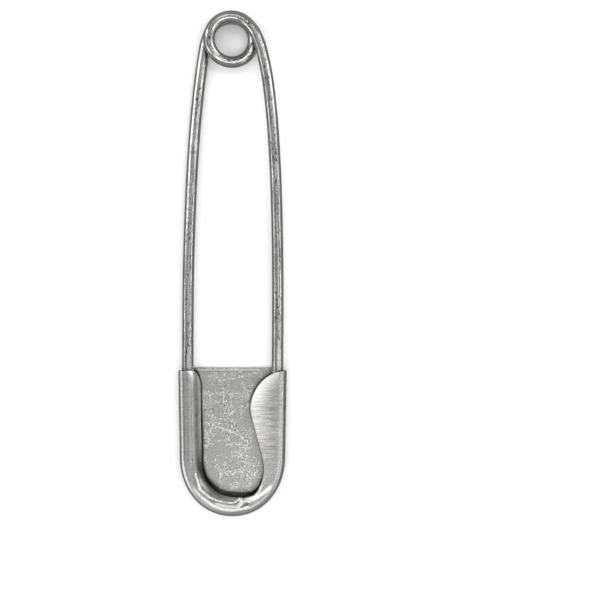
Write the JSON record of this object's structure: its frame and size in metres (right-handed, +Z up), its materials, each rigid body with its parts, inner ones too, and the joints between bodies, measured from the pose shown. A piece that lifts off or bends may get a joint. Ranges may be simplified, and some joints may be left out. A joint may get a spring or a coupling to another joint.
{
  "type": "safety pin",
  "caption": "Large safety pin of one coiled spring wire with a folded sheet cap, whose leaf-shaped guard shelters the sharp point.",
  "frame": {"origin": "centre of the bounding box in X and Y, at the lowest face: the flat underside of the cap and the underside of the coil's back turn", "axes": "+X across the pin towards the pin arm and the guard, +Y along the pin towards the coil, +Z up out of the cap's plate"},
  "size_m": [0.0272, 0.127, 0.0064],
  "materials": {
    "spring_wire": "satin nickel-plated spring steel, drawn lengthwise",
    "cap_sheet": "satin nickel-plated sheet, brushed across, with fine scratches"
  },
  "bodies": {
    "clasp_frame": {"cap": "cap_sheet", "fixed_arm": "spring_wire"},
    "sprung_pin": {"spring_coil": "spring_wire", "pin_arm": "spring_wire"}
  },
  "joints": [
    {"name": "pin_squeeze", "type": "hinge", "parent": "clasp_frame", "child": "sprung_pin", "pos_m": [-0.00015, 0.05647, 0.003], "axis": [0, 0, -1], "range_deg": [0, 8], "stiffness_Nm_per_rad": 6, "springref_deg": -1.15}
  ]
}
